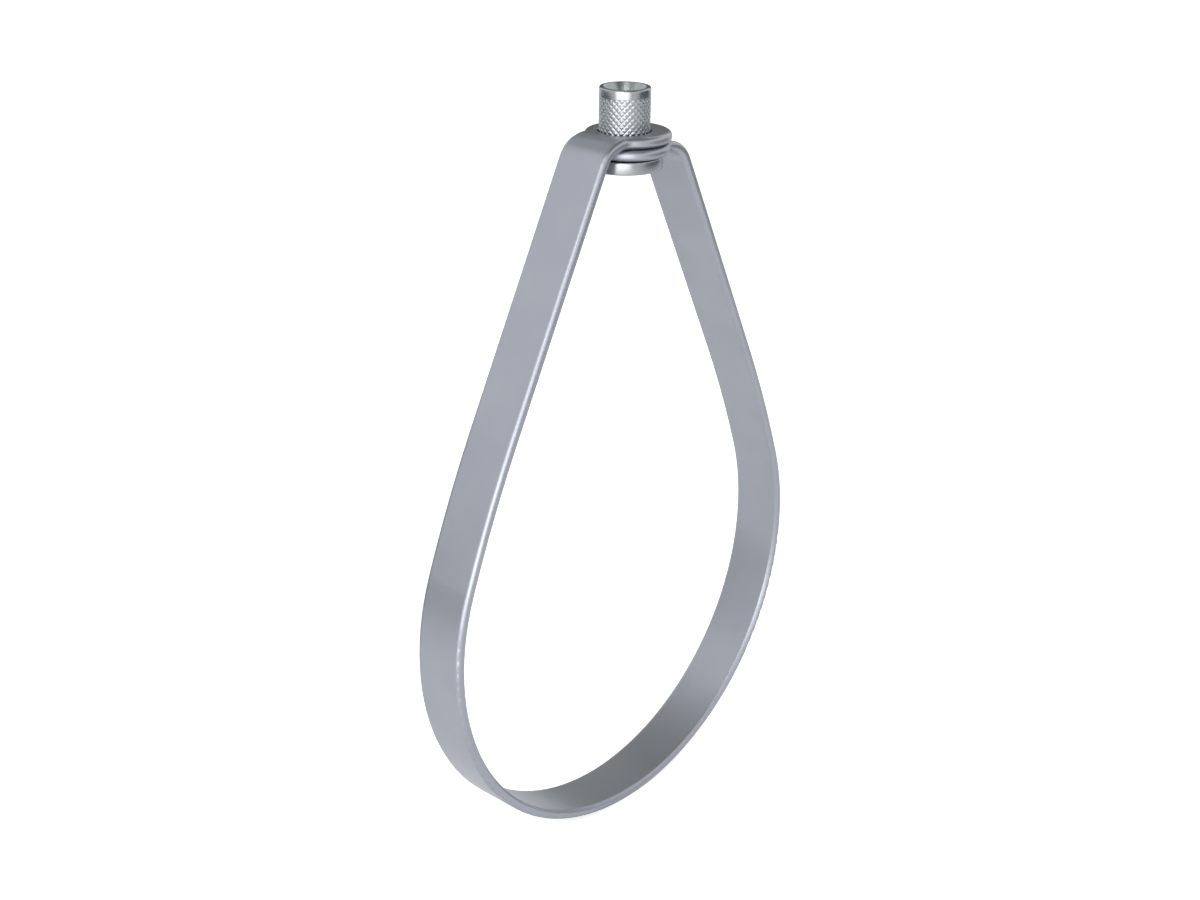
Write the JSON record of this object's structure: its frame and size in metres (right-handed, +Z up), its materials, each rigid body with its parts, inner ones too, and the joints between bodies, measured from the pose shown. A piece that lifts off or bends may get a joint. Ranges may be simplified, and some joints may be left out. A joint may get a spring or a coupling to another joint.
{
  "type": "swivel ring hanger",
  "caption": "Teardrop steel band with lapped eyes that turn on a flanged, knurled nut; hangs a pipe from a threaded rod.",
  "frame": {"origin": "centre of the pipe that the band carries, midway across the band", "axes": "+Z up along the hanging rod, Y along the pipe, +X towards the leg whose eye lies underneath"},
  "size_m": [0.1772, 0.0292, 0.2707],
  "materials": {
    "band_zinc": "satin zinc coat on rolled strip",
    "nut_zinc": "bright zinc plate on turned steel"
  },
  "bodies": {
    "nut": {"knurled_nut": "nut_zinc"},
    "band": {"ring_band": "band_zinc"}
  },
  "joints": [
    {"name": "swivel", "type": "hinge", "parent": "nut", "child": "band", "pos_m": [0, 0, 0.1637], "axis": [0, 0, 1], "continuous": true}
  ]
}
